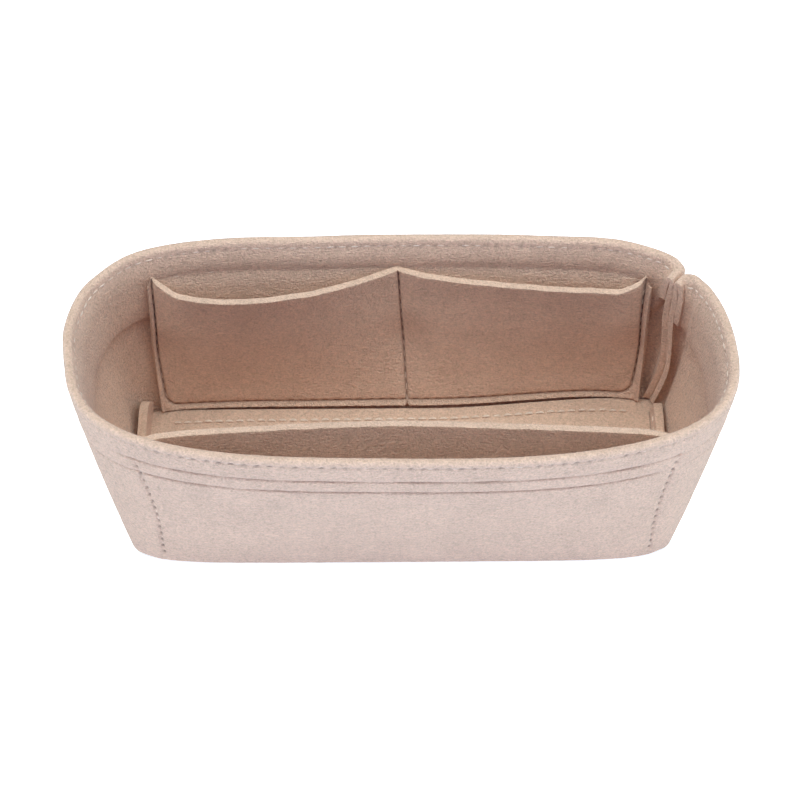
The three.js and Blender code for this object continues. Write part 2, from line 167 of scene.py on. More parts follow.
def wall_at(turn, z, inset):
    turn, z, inset = np.broadcast_arrays(*np.atleast_1d(turn, z, inset))
    step = wall_face(turn + NORMAL_STEP, z) - wall_face(turn - NORMAL_STEP, z)
    inward = unit(np.column_stack([-step[:, 1], step[:, 0]]))
    return np.column_stack([wall_face(turn, z) + inward * inset[:, None], z])


def quarter_length(turn, z):
    """Length of one turn at a height; the quarters at the front differ from those at the back."""
    quarter = 3 if turn > 2 else 0
    chosen = slice(quarter * OUTLINE_POINTS, (quarter + 1) * OUTLINE_POINTS)
    low, high = [path_length(table[1][chosen]) for table in (base_outline, rim_outline)]
    return low + (high - low) * z / HEIGHT


print("rim length round the band, mm:", round(BAND_LENGTH))

# %% [markdown]
# Felt that has been sewn and handled is never quite true. The base of this insert is turned a little
# against its rim, the felt has slow waves, and the right rear of the foot is drawn back and up. One
# function gives these to every point of every piece and thread alike, so that what is sewn together stays
# together.

# %% Hand of the felt
BASE_YAW = math.radians(0.5)
WAVE_LENGTH = 45
WAVE_HEIGHT = 0.5
WAVE_STRETCH = (1, 1, 0.4)
DRAW_BACK = 2.0
DRAW_UP = 3.0
DRAWN_RIGHT = (10, 80)
DRAWN_REAR = (-10, 24)
DRAWN_LOW = (10, 55)
DRAW_UP_EASE = 4


def noise_at(points, size, seed):
    shift = Vector((seed * 7.3, seed * 3.1, seed * 5.7))
    return np.array([noise.noise(Vector(point) / size + shift) for point in points])


def line_noise(values, size, seed, aside=0):
    return noise_at(np.column_stack([values, values * 0 + aside, values * 0]), size, seed)


def settle(points):
    share = share_between(points[:, 2], 0, HEIGHT)
    yaw = BASE_YAW * (1 - share)
    x = points[:, 0] * np.cos(yaw) - points[:, 1] * np.sin(yaw)
    y = points[:, 0] * np.sin(yaw) + points[:, 1] * np.cos(yaw)
    outward = np.column_stack([x / RIM_HALF_LENGTH, y / RIM_HALF_DEPTH])
    wave = WAVE_HEIGHT * share * noise_at(points * WAVE_STRETCH, WAVE_LENGTH, 1)
    x, y = (np.column_stack([x, y]) + outward * wave[:, None]).T
    z = points[:, 2]
    drawn = smooth(x, *DRAWN_RIGHT) * smooth(y, *DRAWN_REAR) * (1 - smooth(z, *DRAWN_LOW))
    return np.column_stack([x, y + DRAW_BACK * drawn, z + DRAW_UP * drawn * smooth(z, 0, DRAW_UP_EASE)])


print("waves about", WAVE_LENGTH, "mm long and", WAVE_HEIGHT, "mm high")

# %% [markdown]
# Felt is one material seen in several lights. Short fibres lie in every direction, so four noises, each
# stretched along its own axis, are laid over each other, with specks, mottle and slow clouds of tone. Their
# sum chooses the colour and drives a bump, and a little sheen stands for the fibre ends that catch the
# light. Painted shade is kept with the vertices and darkens the felt: the shadow in needle holes, along
# sewn rows' creases and in a flap's fold, deeper than the mesh can show. Thread is smoother and a bit
# paler.

# %% Felt and thread finishes
FELT_DARK = (0.567, 0.355, 0.25, 1)
FELT_LIGHT = (0.865, 0.552, 0.395, 1)
THREAD_DARK = (0.68, 0.49, 0.38, 1)
THREAD_LIGHT = (0.88, 0.68, 0.54, 1)
# Colour of the painted shade in needle holes, along sewn rows' creases and in a flap's fold
PAINTED_SHADE_COLOUR = (0.16, 0.10, 0.08, 1)
FIBRE_TURNS = ((0.0, 0.8, 0.3), (0.0, -0.8, -0.3), (0.5, 1.5, 0.0), (0.3, 0.2, 1.3))
FIBRE_SCALE = (420, 1500, 1500)
FIBRE_ROUGHNESS = 0.6
FIBRE_WEIGHT = 0.09
# Scale, roughness and weight of the specks, the mottle and the clouds
GRAIN = ((1400, 0.6, 0.38), (600, 0.6, 0.16), (70, 0.5, 0.10))
TONE_RANGE = (0.39, 0.61)
# Strength of that painted shade
PAINTED_SHADE_STRENGTH = 0.8
SOFT_ROUGHNESS = 0.95
SOFT_SPECULAR = 0.15
SHEEN_ROUGHNESS = 0.55
BUMP_STRENGTH = 0.6


def set_inputs(tree, node, values):
    """Gives each input of a node its value, or a link from the output of another node."""
    for name, value in values.items():
        if isinstance(value, bpy.types.NodeSocket):
            tree.links.new(value, node.inputs[name])
        else:
            node.inputs[name].default_value = value


def add_node(tree, kind, values=None, **settings):
    made = tree.nodes.new(kind)
    for name, value in settings.items():
        setattr(made, name, value)
    set_inputs(tree, made, values or {})
    return made


def grain_noise(tree, place, scale, roughness):
    values = {"Vector": place, "Scale": scale, "Detail": 2, "Roughness": roughness}
    return add_node(tree, "ShaderNodeTexNoise", values).outputs["Fac"]


def fibre_noise(tree, place, turn):
    turned = add_node(tree, "ShaderNodeMapping", {"Vector": place, "Rotation": turn, "Scale": FIBRE_SCALE})
    return grain_noise(tree, turned.outputs["Vector"], 1, FIBRE_ROUGHNESS)


def sum_of(tree, terms):
    total = 0
    for output, weight in terms:
        part = add_node(tree, "ShaderNodeMath", {0: output, 1: weight, 2: total}, operation="MULTIPLY_ADD")
        total = part.outputs[0]
    return total


def new_finish(name):
    finish = bpy.data.materials.new(name)
    finish.use_nodes = True
    return finish, finish.node_tree, finish.node_tree.nodes["Principled BSDF"]


def soft_finish(name, dark, light, sheen, bump_depth):
    finish, tree, shader = new_finish(name)
    place = add_node(tree, "ShaderNodeTexCoord").outputs["Object"]
    terms = [(fibre_noise(tree, place, turn), FIBRE_WEIGHT) for turn in FIBRE_TURNS]
    terms += [(grain_noise(tree, place, scale, roughness), weight) for scale, roughness, weight in GRAIN]
    tone = sum_of(tree, terms)
    ramp = add_node(tree, "ShaderNodeValToRGB", {"Fac": tone})
    for stop, position, colour in zip(ramp.color_ramp.elements, TONE_RANGE, (dark, light)):
        stop.position = position
        stop.color = colour
    # Painted shade: the vertex attribute darkens the felt where needle holes, sewn creases and a flap's fold
    # lie in shadow
    holes = add_node(tree, "ShaderNodeAttribute", attribute_name="painted_shade").outputs["Fac"]
    mixed = {"Factor": sum_of(tree, [(holes, PAINTED_SHADE_STRENGTH)]), "A": ramp.outputs["Color"], "B": PAINTED_SHADE_COLOUR}
    shaded = add_node(tree, "ShaderNodeMix", mixed, data_type="RGBA", blend_type="MIX")
    bump = add_node(tree, "ShaderNodeBump",
                    {"Height": tone, "Strength": BUMP_STRENGTH, "Distance": bump_depth})
    set_inputs(tree, shader, {
        "Base Color": shaded.outputs["Result"],
        "Normal": bump.outputs["Normal"],
        "Roughness": SOFT_ROUGHNESS,
        "Specular IOR Level": SOFT_SPECULAR,
        "Sheen Weight": sheen,
        "Sheen Roughness": SHEEN_ROUGHNESS,
    })
    return finish


felt_finish = soft_finish("needle_felt", FELT_DARK, FELT_LIGHT, sheen=0.15, bump_depth=0.004)
thread_finish = soft_finish("sewing_thread", THREAD_DARK, THREAD_LIGHT, sheen=0.05, bump_depth=0.0002)
print("finishes:", felt_finish.name, "and", thread_finish.name)

# %% [markdown]
# A felt piece starts flat, as a maker cuts it: a grid with a thickness. Cells outside the cut are deleted,
# and then every vertex is moved from its flat place (column, row, face) to its sewn place. A Bevel modifier
# softens the cut edges, which on felt are crisp but never sharp.

# %% Cutting felt
CUT_EDGE_ROUND = 0.45
CUT_EDGE_ANGLE = math.radians(50)


def show(piece, finish, nodes):
    scene.collection.objects.link(piece)
    piece.data.materials.append(finish)
    piece.data.shade_smooth()
    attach(piece, "root")
    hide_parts(*nodes)
    print(piece.name, "has", len(piece.data.polygons), "faces")
    return piece


def mesh_of(bm, name):
    mesh = bpy.data.meshes.new(name)
    bm.to_mesh(mesh)
    bm.free()
    flat = np.empty(3 * len(mesh.vertices), np.float32)
    mesh.vertices.foreach_get("co", flat)
    return mesh, flat.reshape(-1, 3).astype(float)


def set_places(mesh, points):
    mesh.vertices.foreach_set("co", (settle(points) * MM).astype(np.float32).ravel())
    mesh.update()


def middle_of(item):
    return sum((vert.co.xy for vert in item.verts), Vector((0, 0))) / len(item.verts)


def middles_of(items):
    return np.array([middle_of(item) for item in items])


def cut_felt(name, node, columns, rows, place, keep=None, finer=None, cuts=2):
    bm = bmesh.new()
    flat_size = Matrix.Diagonal((columns, rows, 1, 1)) @ Matrix.Translation((0.5, 0.5, 0))
    bmesh.ops.create_grid(bm, x_segments=columns, y_segments=rows, size=0.5, matrix=flat_size)
    if keep:
        stays = keep(*middles_of(bm.faces).T)
        spare = [face for face, stay in zip(bm.faces, stays) if not stay]
        bmesh.ops.delete(bm, geom=spare, context="FACES")
    if finer:
        near = finer(*middles_of(bm.edges).T)
        chosen = [edge for edge, close in zip(bm.edges, near) if close]
        bmesh.ops.subdivide_edges(bm, edges=chosen, cuts=cuts, use_grid_fill=True)
    bmesh.ops.solidify(bm, geom=bm.faces[:], thickness=1.0)
    mesh, flat = mesh_of(bm, name)
    points, holes = place(flat[:, 0], flat[:, 1], flat[:, 2] < -0.5)
    set_places(mesh, points)
    # The place function's second value is painted shade, the shadow in needle holes, creases and a fold,
    # stored on the vertices for the felt's material
    shade = mesh.attributes.new("painted_shade", "FLOAT", "POINT")
    shade.data.foreach_set("value", np.broadcast_to(holes, len(flat)).astype(np.float32))
    piece = bpy.data.objects.new(name, mesh)
    rounding = piece.modifiers.new("cut_edges", "BEVEL")
    rounding.width = CUT_EDGE_ROUND * MM
    rounding.segments = 2
    rounding.profile = 0.5
    rounding.limit_method = "ANGLE"
    rounding.angle_limit = CUT_EDGE_ANGLE
    return show(piece, felt_finish, [node])


def steps(*stops):
    """Values from stop to stop; each stop after the first is a pair of its value and the number of steps."""
    values = [stops[0]]
    for value, count in stops[1:]:
        values.extend(np.linspace(values[-1], value, count + 1)[1:])
    return np.array(values, float)


def at_step(values, step):
    """The value at a step of a list, or between two of its steps."""
    return np.interp(step, np.arange(len(values)), values)


print("cut edges rounded by", CUT_EDGE_ROUND, "mm")

# %% [markdown]
# The pocket panels lie on the wall along their sewn edges and gape between them. A place on a panel is a
# distance across from its middle, measured at its top, and a height. The panel tapers, so the same distance
# across is narrower at its foot.

# %% Form of the pockets
FLOOR_TOP = 5.3
HEM_DROP = 26.5
HEM_EDGE = HEIGHT - HEM_DROP
LAYER_GAP = 0.1
SLOPE_STEP = 1.2
STEEPEST = 0.9
POCKET_TURNS = 0.9
HELD_REACH = (1, 14)
HEM_STEP_EASE = 18


class Pocket:
    def __init__(self, node, middle, side, top_width, foot_width, first_row, seams, gapes, lean=0, bow=0):
        low, high = node_box(node)
        self.foot, self.top = low[2], high[2]
        self.middle, self.side = middle, side
        self.top_half, self.foot_half = top_width / 2, foot_width / 2
        self.first_row, self.seams, self.gapes = first_row, seams, gapes
        self.lean, self.bow = lean, bow

    def taper(self, z):
        share = (z - self.foot) / (self.top - self.foot)
        return (self.foot_half + (self.top_half - self.foot_half) * share) / self.top_half

    def turn(self, across, z):
        return self.middle + self.side * across * self.taper(z) / quarter_length(self.middle, z)

    def across(self, turn, z):
        return self.side * (turn - self.middle) * quarter_length(self.middle, z) / self.taper(z)

    def lies_at(self, turn):
        return np.abs(turn - self.middle) < POCKET_TURNS

    def near_top(self, z, reach):
        return smooth(z, self.top - reach, self.top)

    def seams_at(self, z):
        drawn_in = 1 - self.bow * np.sin(np.pi * share_between(z, self.foot, self.top))
        inner = [seam + self.lean * (self.top - z) for seam in self.seams[1:-1]]
        return [self.seams[0] * drawn_in, *inner, self.seams[-1] * drawn_in]

    def gape(self, across, z):
        rise = share_between(z, self.first_row, self.top)
        total = np.zeros_like(across)
        seams = self.seams_at(z)
        for start, end, (reach, skew, fullness) in zip(seams, seams[1:], self.gapes):
            share = share_between(across, start, end)
            share = share**skew if skew < 1 else 1 - (1 - share) ** (1 / skew)
            total = total + reach * np.sin(np.pi * share) ** fullness
        return total * rise

    def held(self, across, z):
        nearest = np.min([np.abs(across - seam) for seam in self.seams_at(z)], axis=0)
        return np.minimum(nearest, np.clip(z - self.first_row, 0, None))

    def seat(self, across, z):
        free = smooth(self.held(across, z), *HELD_REACH)
        pressed_step = smooth(z, HEM_EDGE - HEM_STEP_EASE, HEM_EDGE)
        bridged_step = smooth(z, self.first_row, HEM_EDGE)
        return LAYER_GAP + FELT * (1 + pressed_step + (bridged_step - pressed_step) * free)

    def stand_off(self, across, z):
        return self.seat(across, z) + self.gape(across, z)

    def at(self, across, z, proud):
        run = 2 * SLOPE_STEP * self.taper(z)
        slope = (self.stand_off(across + SLOPE_STEP, z) - self.stand_off(across - SLOPE_STEP, z)) / run
        slope = np.clip(slope, -STEEPEST, STEEPEST)
        inward = proud / np.sqrt(1 + slope**2)
        sideways = across - slope * inward / self.taper(z)
        return wall_at(self.turn(sideways, z), z, self.stand_off(across, z) + inward)


BACK_TOP_WIDTH = 184
BACK_FOOT_WIDTH = 176
BACK_MARGIN = 2.8
BACK_RIGHT_SEAM = 88
DIVIDER_TOP = -0.8
DIVIDER_LEAN = 0.0625
FRONT_TOP_WIDTH = 194
FRONT_FOOT_WIDTH = 179
FRONT_LEFT_SEAM = -90.5
FRONT_RIGHT_SEAM = 94.8
FRONT_SEAM_BOW = 0.032
BACK_FIRST_ROW = FLOOR_TOP + 2.3
FRONT_FIRST_ROW = FLOOR_TOP + 3
# Reach, skew and fullness of the gape between one seam and the next
BACK_GAPES = ((13.4, 0.70, 1.0), (8.2, 1.84, 0.65))
FRONT_GAPES = ((18.7, 1, 0.5),)
back_pocket = Pocket("back_pocket", 1, -1, BACK_TOP_WIDTH, BACK_FOOT_WIDTH, BACK_FIRST_ROW,
                     (BACK_MARGIN - BACK_TOP_WIDTH / 2, DIVIDER_TOP, BACK_RIGHT_SEAM), BACK_GAPES,
                     lean=DIVIDER_LEAN)
front_pocket = Pocket("front_pocket", 3, 1, FRONT_TOP_WIDTH, FRONT_FOOT_WIDTH, FRONT_FIRST_ROW,
                      (FRONT_LEFT_SEAM, FRONT_RIGHT_SEAM), FRONT_GAPES, bow=FRONT_SEAM_BOW)
print("pocket tops at", round(back_pocket.top, 1), "and", round(front_pocket.top, 1), "mm")

# %% [markdown]
# A sewn row is a path over the felt. Along it the thread pulls the felt into a dent, deepest where the
# needle went through. The paths of the pocket rows are lists of (across, height), walked at an even pace so
# that a stitch number gives a place.

# %% Sewn rows
STITCH = 4.3
UPRIGHT_STITCH = 4.1
HOLE_RADIUS = 0.6
# Width of the painted shade that follows a sewn row's creases
CREASE_SHADE_WIDTH = 0.4
CORNER_ROUND = 5
ROW_END = 1.2


def row_height(name):
    low, high = node_box(name)
    return (low[2] + high[2]) / 2


RIM_ROW = row_height("rim_row_needle_thread")
UPPER_ROW = row_height("hem_upper_row_needle_thread")
LOWER_ROW = row_height("hem_lower_row_needle_thread")
BASE_END_ROW = row_height("base_right_end_needle_thread")


def rounded_edge(pocket):
    low, high = pocket.first_row, pocket.top - ROW_END
    turns = np.linspace(0, math.pi / 2, 6)
    corner = CORNER_ROUND * np.column_stack([1 - np.cos(turns), 1 - np.sin(turns)])
    left = corner + (pocket.seams[0], low)
    right = (corner * (-1, 1) + (pocket.seams[-1], low))[::-1]
    return np.vstack([(pocket.seams[0], high), left, right, (pocket.seams[-1], high)])


def walk(path, distance):
    return on_path(distance, walked_along(path), path)


def dent(distance, width):
    return np.exp(-((distance / width) ** 2))


def hole_marks(walked, pitch, length):
    return dent((walked / pitch - np.rint(walked / pitch)) * pitch, length)


def row_marks(row, across, z):
    """Distance from a sewn row, and how near its needle holes are, from 0 to 1."""
    path, pitch = row
    places = np.column_stack([across, z])
    nearest, walked, start_walk = np.full(len(places), np.inf), np.zeros(len(places)), 0.0
    for start, end in zip(path, path[1:]):
        run = end - start
        length = float(np.linalg.norm(run))
        share = np.clip(((places - start) @ run) / length**2, 0, 1)
        away = np.linalg.norm(places - start - share[:, None] * run, axis=1)
        walked = np.where(away < nearest, start_walk + share * length, walked)
        nearest = np.minimum(nearest, away)
        start_walk += length
    return nearest, dent(nearest, HOLE_RADIUS) * hole_marks(walked, pitch, HOLE_RADIUS)


def sewn(path, pitch):
    return path, path_length(path) / round(path_length(path) / pitch)


edge_path = rounded_edge(back_pocket)
divider_path = np.array([(DIVIDER_TOP + DIVIDER_LEAN * (back_pocket.top - z), z)
                         for z in (back_pocket.top - ROW_END, back_pocket.foot)])
front_heights = np.linspace(front_pocket.top - ROW_END, FELT, 9)
front_paths = [np.column_stack([seam, front_heights]) for seam in front_pocket.seams_at(front_heights)]
edge_row = sewn(edge_path, STITCH)
divider_row = sewn(divider_path, UPRIGHT_STITCH)
back_rows = (edge_row, divider_row)
front_rows = [sewn(path, UPRIGHT_STITCH) for path in front_paths]
sewn_pockets = ((back_pocket, back_rows), (front_pocket, front_rows))


# The second value marks the needle holes, for dents and painted shade; the last argument adds painted shade
# along the whole row, the shadow in its creases.
def marks_of(rows, across, z, crease_shade=0):
    marks = [row_marks(row, across, z) for row in rows]
    away = np.min([distance for distance, hole in marks], axis=0)
    holes = np.max([hole for distance, hole in marks], axis=0)
    return away, np.maximum((1 - crease_shade) * holes, crease_shade * dent(away, CREASE_SHADE_WIDTH))


print("rows at", [round(value, 1) for value in (RIM_ROW, UPPER_ROW, LOWER_ROW)], "mm")

# %% [markdown]
# The wall band is one long strip. Its section is a hook: a flange under the base at the front and back, the
# wall, a round fold at the rim and the hem inside. Its two ends meet at the right rear and turn inwards
# side by side, so there the strip follows a rounded L instead of the outline. One function maps a distance
# along the band, a height and an inset to a place, with the seam included.

# %% The band and its seam
SEAM_REACH_RIM = 44
SEAM_REACH_BASE = 34
FIN_REACH = 8.5
FIN_HEADING = math.radians(41)
END_STEP = 2.4
END_STEP_EASE = 14
FIN_BEND = 1.6
FIN_GAP = 0.08
FIN_WAVE = 0.5
FIN_WAVE_PACE = 6.5
FIN_WAVE_START = 0.8
FIN_PRESS = 0.05
FIN_FOOT = 6.6
FIN_FOOT_EASE = 3
FIN_FOOT_SHARE = 0.5
FIN_BOW = 3.4
FIN_BOW_TOP = HEM_EDGE + 8
FIN_BOW_SKEW = 0.75
FIN_BLEND = (-10, -1)
NOTCH = 2.0
NOTCH_FOOT = HEM_EDGE - 8
NOTCH_EASE = (-5, 1)
SEAM_EASE = 40


def seam_turn(z):
    reach = SEAM_REACH_BASE + (SEAM_REACH_RIM - SEAM_REACH_BASE) * z / HEIGHT
    return reach / quarter_length(0, z)


fin_direction = np.array([-math.sin(FIN_HEADING), -math.cos(FIN_HEADING), 0])
fin_along = np.array([fin_direction[1], -fin_direction[0], 0])


def band_turn(along, z):
    return seam_turn(z) + 4 * along / BAND_LENGTH


def past_end(along):
    """How far a place on the band lies past the seam's bend, in a turned-in end; below 0 on the wall."""
    return np.maximum(-along, along - BAND_LENGTH)


def band_at(along, z, inset):
    along, z, inset = np.broadcast_arrays(along, z, inset)
    side = np.where(along < BAND_LENGTH / 2, 1.0, -1.0)
    past = past_end(along)
    past = np.where(past > 0, past * (FIN_FOOT_SHARE + (1 - FIN_FOOT_SHARE) * z / HEIGHT), past)
    turned = smooth(z, FIN_FOOT - FIN_FOOT_EASE, FIN_FOOT)
    corner = share_between(past, -FIN_BEND, FIN_BEND)
    ease = 1 - smooth(-past, 0, SEAM_EASE)
    fin_share = share_between(past, 0, FIN_REACH)
    layer = inset * (1 - FIN_PRESS * smooth(past, -2, 2))
    apart = FIN_GAP + layer * ease + FIN_BEND * (1 - corner) ** 2 + np.maximum(-past - FIN_BEND, 0)
    apart = apart * turned + np.maximum(-past, 0) * (1 - turned)
    inward = inset * (1 - fin_share) + FIN_BEND * corner**2 + np.maximum(past - FIN_BEND, 0)
    inward = inward * turned + inset * (1 - turned)
    z = z - NOTCH * smooth(z, NOTCH_FOOT, HEIGHT) * smooth(past, *NOTCH_EASE)
    end_step = END_STEP * (side < 0) * (1 - smooth(-past, 0, END_STEP_EASE)) * (1 - fin_share)
    inward = inward + end_step * z / HEIGHT
    on_wall = wall_at(seam_turn(z) + side * apart * 4 / BAND_LENGTH, z, inward)
    root = wall_at(seam_turn(z), z, 0)
    fin_rise = share_between(z, FIN_FOOT, FIN_BOW_TOP)
    bow = FIN_BOW * np.sin(np.pi * fin_rise**FIN_BOW_SKEW)
    sway = (FIN_WAVE * np.sin(z / FIN_WAVE_PACE + FIN_WAVE_START) - bow) * fin_share
    in_fin = root + fin_direction * inward[:, None] + fin_along * (side * apart + sway)[:, None]
    weight = (turned * smooth(past, *FIN_BLEND))[:, None]
    return on_wall * (1 - weight) + in_fin * weight


print("seam at the rim, mm:", wall_at(seam_turn(HEIGHT), HEIGHT, 0)[0].round(1))

# %% [markdown]
# The section of the band, from the flange's edge to the hem's edge, is a list of steps with the place of
# both faces. The steps are close together at the sewn rows and at the fold, where the felt changes fast.
# The rim's row pinches the two layers together, and behind the back pocket the hem's free lower part stands
# off the wall.

# %% Section of the band
FLANGE_REACH = 13
FLANGE_LENGTH = 172
RIM_PINCH = 1.5
PINCH_REACH = 6
HEM_FLARE = 2.4
FOLD_STEPS = 8
BEND_STEPS = 4
INNER_BEND = 0.5
CLOSEST_STEP = 0.1
BELOW_FOLD = 0.3
BETWEEN_ROWS = (0.35, 0.65)
OUTER_OFFSETS = (-1.2, -0.65, -0.3, 0, 0.3, 0.65, 1.2)
INNER_OFFSETS = (-0.8, 0, 0.8)


def row_steps(low, high, offsets):
    rows = np.array([LOWER_ROW, UPPER_ROW, RIM_ROW])
    between = [rows[:-1] + share * np.diff(rows) for share in BETWEEN_ROWS]
    values = np.concatenate([[low, high], (rows[:, None] + offsets).ravel(), *between])
    values = np.unique(np.clip(values, low, high))
    return values[np.concatenate([[True], np.diff(values) > CLOSEST_STEP])]


fold_radius = FELT + (LAYER_GAP - RIM_PINCH) / 2
fold_middle = HEIGHT - fold_radius
hem_face = 2 * FELT + LAYER_GAP
flange_steps = steps(FLANGE_REACH, (FELT + 0.6, 5))
bend_angles = np.linspace(0, math.pi / 2, BEND_STEPS + 1)
low_wall = np.unique([*steps(FELT + 1, (FIN_FOOT, 2)), *steps(BASE_END_ROW - 1.2, (BASE_END_ROW + 1.2, 2)),
                      *steps(BASE_END_ROW + 3, (HEM_EDGE, 10))])
hem_wall = row_steps(HEM_EDGE + 2.5, fold_middle - BELOW_FOLD, OUTER_OFFSETS)
fold_angles = np.linspace(0, math.pi, FOLD_STEPS + 1)
hem_inside = row_steps(HEM_EDGE, fold_middle - BELOW_FOLD, INNER_OFFSETS)[::-1]


def pinch(z):
    return RIM_PINCH * share_between(z, RIM_ROW - PINCH_REACH, fold_middle)


def hem_flare(along, z):
    """How far the hem's lower part stands off the back wall, never more than half of the pocket's gape."""
    turn = band_turn(along, z) % 4
    share = share_between(z, UPPER_ROW, HEM_EDGE)
    reach = HEM_FLARE * share * (2 - share)
    gape = back_pocket.gape(back_pocket.across(turn, z), z)
    return np.minimum(reach, 0.5 * gape * back_pocket.lies_at(turn))


section = []
for reach in flange_steps:
    section.append(("flange", 0, reach, FELT, reach))
for angle in bend_angles:
    up, out = 1 - math.cos(angle), 1 - math.sin(angle)
    section.append(("bend", FELT * up, FELT * out, FELT + INNER_BEND * up, FELT + INNER_BEND * out))
for z in [*low_wall, *hem_wall]:
    section.append(("wall", z, 0, z, FELT - pinch(z) / 2))
for angle in fold_angles:
    rise, out = math.sin(angle), math.cos(angle)
    section.append(("fold", fold_middle + fold_radius * rise, fold_radius * (1 - out),
                    fold_middle + LAYER_GAP / 2 * rise, fold_radius - LAYER_GAP / 2 * out))
for z in hem_inside:
    section.append(("hem", z, hem_face - pinch(z), z, FELT + LAYER_GAP - pinch(z) / 2))
section_kind = np.array([step[0] for step in section])
section_place = np.array([step[1:] for step in section], float)
print("section of the band:", len(section), "steps")

# %% [markdown]
# Relief of the band: each row presses a groove, deeper at the needle holes, and the felt swells between the
# rows of the hem. The rows that hold the pockets come through to the outside as fainter lines. The needle
# holes and creases also get painted shade, the shadow that the mesh is too coarse to cast.

# %% Relief of the band
# Each face's shade and rim_shade are painted shade, the shadow in its creases and needle holes; the rest is
# relief
OUTER_FACE = dict(depth=1.15, width=0.5, shade=0.5, lower=1.0, ends=0.35, rim_dent=0.25, rim_shade=0.8,
                  rim_ends=0.2, swell=0.3)
INNER_FACE = dict(depth=0.03, width=0.7, shade=0.05, lower=0.1, ends=0.2, rim_dent=0.1, rim_shade=0.5,
                  rim_ends=0.5, swell=0.2)
HOLE_DENT = 0.5
HOLE_LENGTH = 0.75
POCKET_ROW_DENT = 0.45
POCKET_ROW_WIDTH = 0.9
HEM_SWELL = 0.3
SWELL_SKEW = 0.7
HOLE_NOISE = 7
HOLE_MEAN = 0.75
PULL_NOISE = 14
PULL_MEAN = 0.85
PULL_SPREAD = 0.9
PULL_MOST = 1.4
ROW_APART = 50
STRAIGHT_SIDES = (0.5, 0.72)
ROW_WIDTH = 0.55
FINE_SIZE = 3.5
FINE_HEIGHT = 0.09

hem_stitches = round(BAND_LENGTH / STITCH)
hem_pitch = BAND_LENGTH / hem_stitches


def row_strength(along, z, end_share):
    straight = 1 - smooth(np.abs(band_turn(along, z) % 2 - 1), *STRAIGHT_SIDES)
    return end_share + (1 - end_share) * straight


def hem_relief(along, z, face):
    """Depth of the felt's dents, and the shade in them.

    A face has the depth, width and shade of its creases, the share of them that the lower row has and the
    share that is left round the ends of the insert. Its rim row has a dent, the shade of its holes and their
    share at the ends. The swell is the one between the two lower rows.
    """
    strength = row_strength(along, z, face["ends"])
    hole_depth = np.clip(HOLE_MEAN + line_noise(along, HOLE_NOISE, 5), 0, 1)
    marks = hole_marks(along, hem_pitch, HOLE_LENGTH) * hole_depth
    rim_holes = marks * dent(z - RIM_ROW, HOLE_RADIUS) * row_strength(along, z, face["rim_ends"])
    relief = face["rim_dent"] * (dent(z - RIM_ROW, ROW_WIDTH) + 2 * rim_holes)
    # shades is painted shade: the shadow in the rim row's needle holes and along the creases of the hem's
    # upper and lower rows
    shades = face["rim_shade"] * rim_holes
    for number, (low, high) in enumerate(((LOWER_ROW, UPPER_ROW), (UPPER_ROW, RIM_ROW))):
        uneven = line_noise(along, PULL_NOISE, 6, ROW_APART * number)
        pull = np.clip(PULL_MEAN + PULL_SPREAD * uneven, 0, PULL_MOST)
        pull = pull * strength * (1 if number else face["lower"])
        share = share_between(z, low, high)
        swell = (HEM_SWELL if number else face["swell"]) * strength * np.sin(np.pi * share**SWELL_SKEW) ** 2
        relief = relief + pull * face["depth"] * dent(z - low, face["width"]) - swell
        shades = np.maximum(shades, pull * face["shade"] * dent(z - low, CREASE_SHADE_WIDTH))
    free = 1 - 0.9 * smooth(past_end(along), -4, 0)
    return relief * free, shades * free


def outer_relief(along, z):
    turn = band_turn(along, z) % 4
    relief, holes = hem_relief(along, z, OUTER_FACE)
    for pocket, rows in sewn_pockets:
        here = pocket.lies_at(turn)
        away, marks = marks_of(rows, pocket.across(turn, z), z)
        relief = relief + here * (POCKET_ROW_DENT * dent(away, POCKET_ROW_WIDTH) + HOLE_DENT * marks)
        # Painted shade in the needle holes of the pocket rows where they come through the wall, fading out at
        # the hem
        holes = np.maximum(holes, here * marks * (1 - smooth(z, LOWER_ROW, UPPER_ROW + 3)))
    return relief, holes


print("each hem row has", hem_stitches, "stitches of", round(hem_pitch, 2), "mm")

# %% [markdown]
# Now the band is cut and sewn. Its columns follow the stitches of the hem, three to a stitch, so that each
# needle hole has a column of its own. Where the lower edge is not turned under, the flange's cells are cut
# away.

# %% Wall band
FIN_COLUMNS = 9
FLANGE_EASE = 8
NEAR_ROW = 1.4
LOWER_EDGE = 1.2
FIN_HEM_CUT = (12.5, 5.5)
FIN_HEM_EASE = (-6, 1)
FIN_HEM_ROUND = 0.8
FIN_HEM_ROUND_REACH = 4
HEM_END_RISE = 4
HEM_END_TURNS = (0.7, 1)
HEM_END_SHIFT = 0.05

stitch_columns = hem_pitch * np.array([0, 1 / 3, 2 / 3])
column_along = np.concatenate([
    np.linspace(-FIN_REACH, 0, FIN_COLUMNS + 1)[:-1],
    (np.arange(hem_stitches)[:, None] * hem_pitch + stitch_columns).ravel(),
    np.linspace(BAND_LENGTH, BAND_LENGTH + FIN_REACH, FIN_COLUMNS + 1),
])


def flange_share(along):
    turn = band_turn(along, np.zeros_like(along)) % 4
    shares = []
    for middle in (1, 3):
        away = np.abs(turn - middle) * quarter_length(middle, 0)
        shares.append(1 - smooth(away, FLANGE_LENGTH / 2, FLANGE_LENGTH / 2 + FLANGE_EASE))
    return np.maximum(*shares)


def along_of(column):
    return at_step(column_along, column)


def section_of(row, part):
    return at_step(section_place[:, part], row)


def keep_band(column, row):
    along, step = along_of(column), section_kind[row.astype(int)]
    under = (step == "flange") & (flange_share(along) < 0.5)
    below_fin = (past_end(along) > 0) & (section_of(row, 0) < FIN_FOOT) & (step != "hem")
    return ~under & ~below_fin


